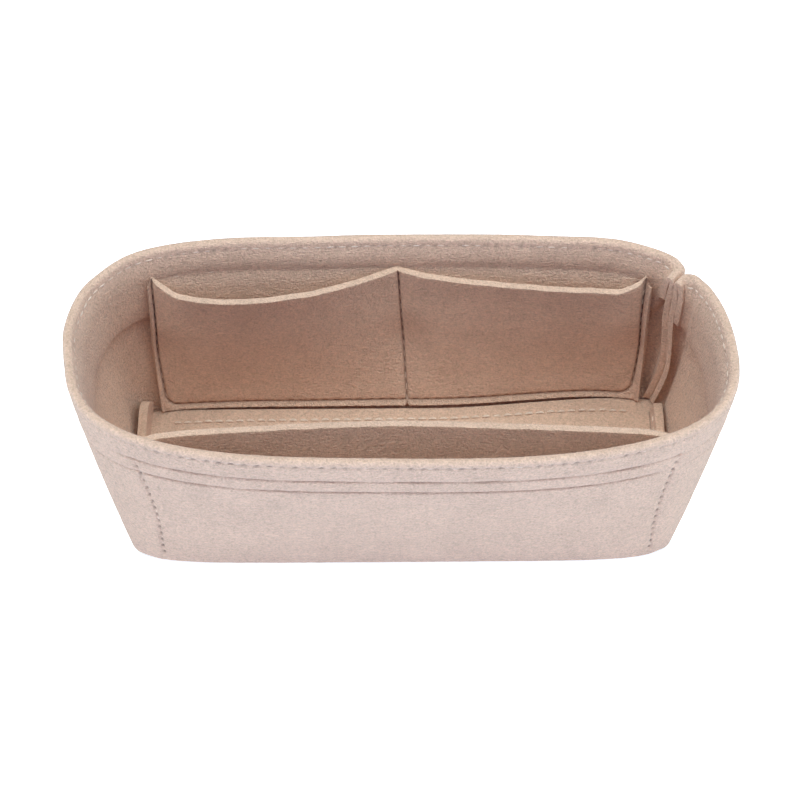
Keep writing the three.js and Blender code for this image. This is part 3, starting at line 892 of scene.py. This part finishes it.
def finer_band(column, row):
    along, z = along_of(column), section_of(row, 0)
    turn = band_turn(along, z) % 4
    on_low_wall = (section_kind[row.astype(int)] == "wall") & (z > FELT) & (z < UPPER_ROW)
    near = np.zeros(len(along), bool)
    for pocket, rows in sewn_pockets:
        away, marks = marks_of(rows, pocket.across(turn, z), z)
        near = near | ((away < NEAR_ROW) & pocket.lies_at(turn))
    return near & on_low_wall


def hem_cut(along, z):
    """How much higher the hem's edge is round the ends of the insert and in the band's turned-in ends.

    Round the ends of the insert the hem draws up. In the turned-in ends its layers are cut short and rounded.
    """
    share = (fold_middle - z) / (fold_middle - HEM_EDGE)
    past = past_end(along)
    cut = np.where(along < BAND_LENGTH / 2, *FIN_HEM_CUT) * smooth(past, *FIN_HEM_EASE)
    end_share = smooth(np.abs((band_turn(along, z) - HEM_END_SHIFT) % 2 - 1), *HEM_END_TURNS)
    rounded = FIN_HEM_ROUND * share**3 * smooth(past, FIN_REACH - FIN_HEM_ROUND_REACH, FIN_REACH)
    return share * (cut + rounded) + HEM_END_RISE * end_share * share**6


# Heights of the bend's steps where the lower edge hangs straight
bend_rise = np.where(section_kind == "bend", (FELT + INNER_BEND - LOWER_EDGE) / (BEND_STEPS + 1), 0.0)
hanging_heights = LOWER_EDGE + np.cumsum(bend_rise)


def place_band(column, row, back):
    along, kind = along_of(column), section_kind[np.rint(row).astype(int)]
    z = np.where(back, section_of(row, 2), section_of(row, 0))
    inset = np.where(back, section_of(row, 3), section_of(row, 1))
    straight = (kind == "bend") * (1 - flange_share(along))
    hanging = at_step(hanging_heights, row)
    z = z + straight * (hanging - z)
    inset = inset * (1 - straight) + straight * np.where(back, FELT, 0)
    outer = ((kind == "wall") | (kind == "fold")) & (inset < FELT) & ~back
    inner = ((kind == "hem") | (kind == "fold")) & (inset > FELT) & ~back
    # The second values here are painted shade, the shadow in needle holes and creases on the outer and inner
    # faces.
    out_relief, outer_shade = outer_relief(along, z)
    in_relief, inner_shade = hem_relief(along, z, INNER_FACE)
    inset = inset + np.where(outer, out_relief, 0) - np.where(inner, in_relief, 0)
    inset = inset + (kind == "hem") * hem_flare(along, z)
    z = z + (kind == "hem") * hem_cut(along, z)
    points = band_at(along, z, inset)
    rough = FINE_HEIGHT * noise_at(points, FINE_SIZE, 2)
    points = band_at(along, z, inset + np.where(kind == "flange", 0, rough))
    return points, np.where(outer, outer_shade, 0) + np.where(inner, inner_shade, 0)


wall_band = cut_felt("wall_band_felt", "wall_band", len(column_along) - 1, len(section) - 1, place_band,
                     keep_band, finer_band, cuts=4)

# %% [markdown]
# The base is a plain sheet on the flanges, with a short flap at each end that is turned up against the end
# wall. The grid's outer columns make the flaps, and the corners beside them are cut away.

# %% Base panel
BASE_UNDERSIDE = FELT + LAYER_GAP
FLAP_RISE = 6
FLAP_ENDS = ((-26, 31), (-24, 25.5))
FLAP_LEAN = 0.2
FLAP_COLUMNS = 6
FLAP_ROUND = (0.15, 0.6)
FLAP_ROUND_POWER = 8
FLAP_CURL = 7
FLAP_CURL_REAR = (12, 28)
FLAP_TURN_IN = 2.2
FLOOR_FULLNESS = (30, 30, 11, 11)
FOLD_STEP = 0.003
# Strength of the painted shade along the right flap's fold
FOLD_SHADE = 0.7
BASE_ROW_REACH = 10.5
FLOOR_ROW_DENT = 0.6
FLOOR_ROW_WIDTH = 1.2
FLOOR_COLUMNS = 150
FLOOR_ROWS = 56
floor_inset = FELT + 0.3
floor_half_depth = BASE_DEPTH / 2 - floor_inset
floor_half_length = BASE_LENGTH / 2 - floor_inset
floor_row_line = wall_at(np.linspace(0.3, 1.7, 80), FLOOR_TOP, BASE_ROW_REACH)


def floor_row_y(row):
    return (2 * np.asarray(row, float) / FLOOR_ROWS - 1) * floor_half_depth


def flap_share_at(column, y):
    on_right = column > FLAP_COLUMNS + FLOOR_COLUMNS / 2
    front, rear = [np.where(on_right, right, left) for left, right in zip(*FLAP_ENDS)]
    return np.abs(2 * y - front - rear) / (rear - front)


def keep_base(column, row):
    on_floor = (column > FLAP_COLUMNS) & (column < FLAP_COLUMNS + FLOOR_COLUMNS)
    return on_floor | (flap_share_at(column, floor_row_y(row)) < 1)


def place_base(column, row, back):
    y = floor_row_y(row)
    share = np.clip(np.abs(y) / floor_half_depth, 0, 0.999)
    floor_column = column - FLAP_COLUMNS
    on_right = floor_column > FLOOR_COLUMNS / 2
    fullness = np.choose(on_right + 2 * (y < 0), [FLOOR_FULLNESS[quarter] for quarter in (1, 0, 2, 3)])
    half = floor_half_length * (1 - share**fullness) ** (1 / fullness)
    flap_share = np.clip(flap_share_at(column, y), 0, 1)
    floor_end = half - np.where(back, 0, FELT * (flap_share < 1))
    fold_columns = (0, 1, FLOOR_COLUMNS - 1, FLOOR_COLUMNS)
    floor_share = np.interp(floor_column, fold_columns, (0, FOLD_STEP, 1 - FOLD_STEP, 1))
    up = np.maximum(-floor_column, floor_column - FLOOR_COLUMNS).clip(0) / FLAP_COLUMNS
    level = np.where(back, BASE_UNDERSIDE, FLOOR_TOP)
    rounded = np.where(on_right, *FLAP_ROUND) * flap_share**FLAP_ROUND_POWER
    curl = ~on_right * smooth(y, *FLAP_CURL_REAR)
    rise = up * (FLOOR_TOP - level + (FLAP_RISE + FLAP_CURL * curl) * (1 - rounded))
    x = (2 * floor_share - 1) * floor_end
    lean = FLAP_LEAN * rise - FLAP_TURN_IN * curl * up
    points = np.column_stack([x + np.sign(x) * lean, y - BASE_SETTING, level + rise])
    row_away = points[:, 1] - np.interp(-x, -floor_row_line[:, 0], floor_row_line[:, 1])
    sewn_down = FLOOR_ROW_DENT * dent(row_away, FLOOR_ROW_WIDTH) * (np.abs(x) < FLANGE_LENGTH / 2)
    points[:, 2] += np.where(back, 0, FINE_HEIGHT * noise_at(points, FINE_SIZE, 6) - sewn_down)
    # A line of painted shade marks the right flap's fold, the shadow in its sharp inner bend
    at_fold = (floor_column == 0) | (floor_column == FLOOR_COLUMNS)
    return points, FOLD_SHADE * (at_fold & on_right & ~back & (flap_share < 1))


base_panel = cut_felt("base_panel_felt", "base_panel", FLOOR_COLUMNS + 2 * FLAP_COLUMNS, FLOOR_ROWS,
                      place_base, keep_base)

# %% [markdown]
# Each pocket panel is a grid across and up. Its sewn edge is pressed flat, its free top edge stands off the
# wall, and the margin outside the row springs up a little, which is what makes the pale strip beside the
# stitches.

# %% Back pocket
BACK_COLUMNS = 168
BACK_ROWS = 52
PANEL_DENT = 1.2
PANEL_DRAW = 0.4
PANEL_DRAW_WIDTH = 3
# Strength of the painted shade along the pocket rows' creases and in the back panel's top notches
PANEL_CREASE_SHADE = 0.6
MARGIN_SPRING = 1.0
MARGIN_PRESS = 0.7
MARGIN_PRESS_HEIGHT = 9
MARGIN_CUT = 3
STRIP_LIFT = 0.6
LIFT_HEIGHT = 12
CORNER_LIFT = 2.8
CORNER_LIFT_WIDTH = 9
DIVIDER_LIFT = 1.0
DIVIDER_LIFT_WIDTH = 10
EDGE_WOBBLE = 0.3
EDGE_WOBBLE_LENGTH = 6
EDGE_WOBBLE_HEIGHT = 5

back_across = np.linspace(-back_pocket.top_half, back_pocket.top_half, BACK_COLUMNS + 1)
back_heights = np.linspace(back_pocket.foot + STRIP_LIFT, back_pocket.top, BACK_ROWS + 1)


def panel_place(column, row):
    return at_step(back_across, column), at_step(back_heights, row)


def finer_back(column, row):
    away, marks = marks_of(back_rows, *panel_place(column, row))
    return away < NEAR_ROW


def top_wobble(pocket, across, z):
    return EDGE_WOBBLE * line_noise(across, EDGE_WOBBLE_LENGTH, 8) * pocket.near_top(z, EDGE_WOBBLE_HEIGHT)


def place_back_pocket(column, row, back):
    across, z = panel_place(column, row)
    # marks becomes painted shade: the shadow in the needle holes, along the rows' creases and in the notches
    # at the top
    away, marks = marks_of(back_rows, across, z, PANEL_CREASE_SHADE)
    sides = np.maximum(back_pocket.seams[0] - across, across - back_pocket.seams[-1])
    margin = np.maximum(sides, back_pocket.first_row - z).clip(0)
    at_top = smooth(z, back_pocket.top - 2 * ROW_END, back_pocket.top - ROW_END)
    notch = at_top * dent(sides, ROW_WIDTH)
    pressed = PANEL_DENT * np.maximum(dent(away, ROW_WIDTH), notch)
    pressed = pressed + PANEL_DRAW * dent(away, PANEL_DRAW_WIDTH)
    near_top = back_pocket.near_top(z, MARGIN_PRESS_HEIGHT)
    pressed = pressed + FELT * MARGIN_PRESS * smooth(sides, 0, 1.5) * near_top
    proud = np.where(back, 0, FELT - pressed) + MARGIN_SPRING * np.clip(margin / BACK_MARGIN, 0, 1.5)
    marks = np.maximum(marks, PANEL_CREASE_SHADE * notch)
    at_divider = dent(across - DIVIDER_TOP, DIVIDER_LIFT_WIDTH)
    lifted = CORNER_LIFT * smooth(sides, -CORNER_LIFT_WIDTH, 0) + DIVIDER_LIFT * at_divider
    lifted = lifted * back_pocket.near_top(z, LIFT_HEIGHT)
    cut_away = MARGIN_CUT * at_top * smooth(sides, 0.4, BACK_MARGIN)
    z = z + lifted + top_wobble(back_pocket, across, z) - cut_away
    points = back_pocket.at(across, z, proud)
    rough = FINE_HEIGHT * noise_at(points, FINE_SIZE, 3)
    return back_pocket.at(across, z, proud + rough), np.where(back, 0, marks)


back_panel = cut_felt("back_pocket_felt", "back_pocket", BACK_COLUMNS, BACK_ROWS, place_back_pocket,
                      finer=finer_back, cuts=3)

# %% [markdown]
# The front panel is like the back one, but it bends at its foot and lies on the base, where the base's
# front row catches it. Its grid has a few extra rows for the foot.

# %% Front pocket
FRONT_COLUMNS = 172
FRONT_ROWS = 46
FOOT_ROWS = 7
FOOT_REACH = 14

front_across = np.linspace(-front_pocket.top_half, front_pocket.top_half, FRONT_COLUMNS + 1)
front_row_heights = np.linspace(front_pocket.foot + FELT, front_pocket.top, FRONT_ROWS + 1)


def place_front_pocket(column, row, back):
    across = at_step(front_across, column)
    z = at_step(front_row_heights, row - FOOT_ROWS)
    foot = share_between(row, FOOT_ROWS, 0)
    # marks becomes painted shade: the shadow in the needle holes and along the rows' creases
    away, marks = marks_of(front_rows, across, z, PANEL_CREASE_SHADE)
    proud = np.where(back, FELT - PANEL_DENT * dent(away, ROW_WIDTH), 0)
    proud = proud + foot * (FOOT_REACH - FELT - LAYER_GAP - proud)
    z = np.where(foot > 0, front_pocket.foot + np.where(back, FELT, 0), z)
    z = np.where((foot == 0) & (row < FOOT_ROWS + 0.5) & ~back, front_pocket.foot + 1, z)
    z = z + top_wobble(front_pocket, across, z)
    points = front_pocket.at(across, z, proud)
    rough = (foot == 0) * FINE_HEIGHT * noise_at(points, FINE_SIZE, 4)
    return front_pocket.at(across, z, proud + rough), np.where(back, marks, 0)


front_panel = cut_felt("front_pocket_felt", "front_pocket", FRONT_COLUMNS, FRONT_ROWS + FOOT_ROWS,
                       place_front_pocket)

# %% [markdown]
# Stitches are small, and there are hundreds, so each is a sphere of few faces, stretched along its row and
# pulled down at both ends. A row is laid out straight first and then wrapped onto the felt by the function
# that places its points.

# %% Stitches
THREAD_RADIUS = 0.32
STITCH_SHARE = 0.8
STITCH_SINK = 0.32
STITCH_SLACK = 0.25
SLACK_NOISE = 0.37
OUTER_SINK = 0.32
END_SINK = 0.3
# Name and height of each hem row, and how deep its inner stitches sink at the ends and along the sides
HEM_ROWS = (
    ("rim_row", RIM_ROW, 0.0, 0.2),
    ("hem_upper_row", UPPER_ROW, 0.32, 0.32),
    ("hem_lower_row", LOWER_ROW, 0.4, 0.4),
)


def stitch_row(node, count, place, radius=THREAD_RADIUS):
    bm = bmesh.new()
    lay = Matrix.Diagonal((STITCH_SHARE / 2, 1, 1, 1)) @ Matrix.Rotation(math.pi / 2, 4, "Y")
    for number in range(count):
        bmesh.ops.create_uvsphere(bm, u_segments=6, v_segments=6, radius=1,
                                  matrix=Matrix.Translation((number + 0.5, 0, 0)) @ lay)
    name = node.replace("_thread", "_stitches")
    mesh, flat = mesh_of(bm, name)
    along = flat[:, 0]
    bow = ((along - np.floor(along) - 0.5) / (STITCH_SHARE / 2)) ** 2
    slack = STITCH_SLACK * line_noise(np.floor(along), SLACK_NOISE, len(node))
    lift = flat[:, 2] * radius + STITCH_SINK * (0.1 - bow) + slack
    set_places(mesh, place(along, flat[:, 1] * radius, lift))
    return show(bpy.data.objects.new(name, mesh), thread_finish, [node])


def groove(along, row, face):
    """Depth of a hem row's groove on one face of the band."""
    if row == RIM_ROW:
        return face["rim_dent"]
    share = face["lower"] if row == LOWER_ROW else 1
    return share * face["depth"] * row_strength(along, row, face["ends"])


for name, row, end_sink, side_sink in HEM_ROWS:
    def on_outside(along, aside, lift, row=row):
        along = along * hem_pitch
        sunk = OUTER_SINK + END_SINK * (1 - row_strength(along, row, 0))
        return band_at(along, row + aside, sunk + groove(along, row, OUTER_FACE) - lift)

    def on_inside(along, aside, lift, row=row, end_sink=end_sink, side_sink=side_sink):
        along = along * hem_pitch
        sink = end_sink + (side_sink - end_sink) * row_strength(along, row, 0)
        face = hem_face - pinch(row) + hem_flare(along, along * 0 + row) - groove(along, row, INNER_FACE)
        return band_at(along, row + aside + hem_cut(along, along * 0 + row), face - sink + lift)

    stitch_row(f"{name}_needle_thread", hem_stitches, on_outside)
    stitch_row(f"{name}_bobbin_thread", hem_stitches, on_inside)

# %% [markdown]
# The pocket rows show on the panel and again on the outside of the wall. Both sides share one path, and
# only the height above the felt differs.

# %% Pocket stitches
HEADING_STEP = 0.2


def path_places(pocket, path, count, height):
    pitch = path_length(path) / count

    def place(along, aside, lift):
        here = walk(path, along * pitch)
        ahead = walk(path, along * pitch + HEADING_STEP)
        behind = walk(path, along * pitch - HEADING_STEP)
        run = ahead - behind
        run = run / np.maximum(np.linalg.norm(run, axis=1), 1e-6)[:, None]
        across = here[:, 0] - run[:, 1] * aside
        z = here[:, 1] + run[:, 0] * aside
        return height(pocket, across, z, lift)

    return place


def on_panel(pocket, across, z, lift):
    return pocket.at(across, z, FELT - PANEL_DENT - PANEL_DRAW + lift)


def on_wall(pocket, across, z, lift):
    return wall_at(pocket.turn(across, z), z, OUTER_SINK + POCKET_ROW_DENT - lift)


pocket_rows = (
    ("back_pocket_edge", back_pocket, edge_row, "needle", "bobbin"),
    ("pocket_divider", back_pocket, divider_row, "needle", "bobbin"),
    ("front_pocket_left", front_pocket, front_rows[0], "bobbin", "needle"),
    ("front_pocket_right", front_pocket, front_rows[1], "bobbin", "needle"),
)
for name, pocket, (path, pitch), panel_thread, wall_thread in pocket_rows:
    count = round(path_length(path) / pitch)
    stitch_row(f"{name}_{panel_thread}_thread", count, path_places(pocket, path, count, on_panel))
    stitch_row(f"{name}_{wall_thread}_thread", count, path_places(pocket, path, count, on_wall))

# %% [markdown]
# The last rows hold the base: one along the front and the back, through flange and floor, one through each
# flap and end wall, and the short row that closes the band, on both flanks of its turned-in ends.

# %% Base and seam stitches
ROW_END_GAP = 2
FLOOR_THREAD_RADIUS = 0.42
BASE_STITCH = 3.95
UNDERSIDE_LEVEL = 0.4
END_WALL_SINK = 0.15
FLAP_FACE = 7.1
SEAM_ROW = 4
SEAM_SINK = 0.15


def level_row(node, turn_middle, reach, pitch, z, inset, up=0, inward=0, radius=THREAD_RADIUS):
    count = round(2 * reach / pitch)
    length = quarter_length(turn_middle, z)

    def place(along, aside, lift):
        turn = turn_middle + (along / count * 2 - 1) * reach / length
        return wall_at(turn, z + up * lift + abs(inward) * aside, inset + inward * lift + abs(up) * aside)

    stitch_row(node, count, place, radius)


flange_half = FLANGE_LENGTH / 2 - ROW_END_GAP
foot_top = front_pocket.foot + FELT
for side, middle, top in (("back", 1, FLOOR_TOP), ("front", 3, foot_top)):
    level_row(f"base_{side}_row_needle_thread", middle, flange_half, BASE_STITCH, top, BASE_ROW_REACH, up=1,
              radius=FLOOR_THREAD_RADIUS)
    level_row(f"base_{side}_row_bobbin_thread", middle, flange_half, BASE_STITCH, UNDERSIDE_LEVEL,
              BASE_ROW_REACH, up=-1)
flap_half = min(-front for front, rear in FLAP_ENDS) - ROW_END_GAP
for side, middle in (("right", 0), ("left", 2)):
    level_row(f"base_{side}_end_needle_thread", middle, flap_half, STITCH, BASE_END_ROW, END_WALL_SINK,
              inward=-1)
    level_row(f"base_{side}_end_bobbin_thread", middle, flap_half, STITCH, BASE_END_ROW, FLAP_FACE, inward=1)

seam_low, seam_high = FLOOR_TOP + FLAP_RISE + FELT, HEM_EDGE - FELT
seam_count = round((seam_high - seam_low) / UPRIGHT_STITCH)
for name, place in (("needle", BAND_LENGTH + SEAM_ROW), ("bobbin", -SEAM_ROW)):
    def on_flank(along, aside, lift, place=place):
        z = seam_low + along / seam_count * (seam_high - seam_low)
        return band_at(place + aside, z, FELT - SEAM_SINK + lift)

    stitch_row(f"wall_seam_{name}_thread", seam_count, on_flank)

# %% [markdown]
# The band's cut is not a rectangle, because its flanges are only as long as the base's straight sides.

# %% [markdown]
# The stage is a pale floor under a wide soft light from above, with low soft lights at the front and at
# both sides, as in a product studio. The low lights and the sky are cool, so the outside of the felt looks
# greyer than the inside, which is lit by its own warm bounce. The floor glows a little for the camera
# alone: it shows as white and still keeps the insert's shadow.

# %% Stage and light
FLOOR_SIZE = 6
FLOOR_PAINT = (0.8, 0.8, 0.8, 1)
FLOOR_ROUGHNESS = 0.9
FLOOR_GLOW = 0.75
MIDDLE = (0, 0, 0.04)
OVERHEAD_WHITE = (0.82, 1.0, 0.98)
FRONT_WHITE = (0.51, 0.67, 1.0)
SIDE_WHITE = (0.62, 0.86, 1.0)
SKY_WHITE = (0.53, 0.59, 1.0, 1)
SKY_LEVEL = 0.40
BACKDROP_WHITE = (1, 1, 1, 1)


def camera_ray(tree):
    return add_node(tree, "ShaderNodeLightPath").outputs["Is Camera Ray"]


def stage_floor():
    bm = bmesh.new()
    bmesh.ops.create_grid(bm, x_segments=1, y_segments=1, size=FLOOR_SIZE / 2)
    mesh = mesh_of(bm, "floor")[0]
    floor = bpy.data.objects.new("floor", mesh)
    paint, tree, shader = new_finish("floor_paint")
    set_inputs(tree, shader, {"Base Color": FLOOR_PAINT, "Roughness": FLOOR_ROUGHNESS})
    glow = add_node(tree, "ShaderNodeEmission", {"Strength": sum_of(tree, [(camera_ray(tree), FLOOR_GLOW)])})
    both = add_node(tree, "ShaderNodeAddShader", {0: shader.outputs[0], 1: glow.outputs[0]})
    set_inputs(tree, tree.nodes["Material Output"], {"Surface": both.outputs[0]})
    mesh.materials.append(paint)
    scene.collection.objects.link(floor)


def soft_box(name, place, target, size, power, colour):
    lamp = bpy.data.lights.new(name, "AREA")
    lamp.shape = "RECTANGLE"
    lamp.size, lamp.size_y = size
    lamp.energy = power
    lamp.color = colour
    holder = bpy.data.objects.new(name, lamp)
    holder.location = place
    holder.rotation_euler = (Vector(target) - Vector(place)).to_track_quat("-Z", "Y").to_euler()
    scene.collection.objects.link(holder)


def studio_world():
    world = bpy.data.worlds.new("studio")
    world.use_nodes = True
    tree = world.node_tree
    ground = tree.nodes["Background"]
    set_inputs(tree, ground, {"Color": SKY_WHITE, "Strength": SKY_LEVEL})
    backdrop = add_node(tree, "ShaderNodeBackground", {"Color": BACKDROP_WHITE, "Strength": 1})
    either = add_node(tree, "ShaderNodeMixShader",
                      {0: camera_ray(tree), 1: ground.outputs[0], 2: backdrop.outputs[0]})
    set_inputs(tree, tree.nodes["World Output"], {"Surface": either.outputs[0]})
    scene.world = world


stage_floor()
studio_world()
soft_box("overhead_light", (0, 0, 1.1), MIDDLE, size=(3.0, 1.0), power=26.0, colour=OVERHEAD_WHITE)
soft_box("front_light", (0, -1.1, 0.10), MIDDLE, size=(1.0, 0.16), power=5.5, colour=FRONT_WHITE)
for name, side, power in (("left_light", -1, 4.6), ("right_light", 1, 5.2)):
    soft_box(name, (side * 1.0, -0.5, 0.10), MIDDLE, size=(0.7, 0.16), power=power, colour=SIDE_WHITE)
scene.view_settings.view_transform = "Standard"
print("lights:", [light.name for light in bpy.data.lights])
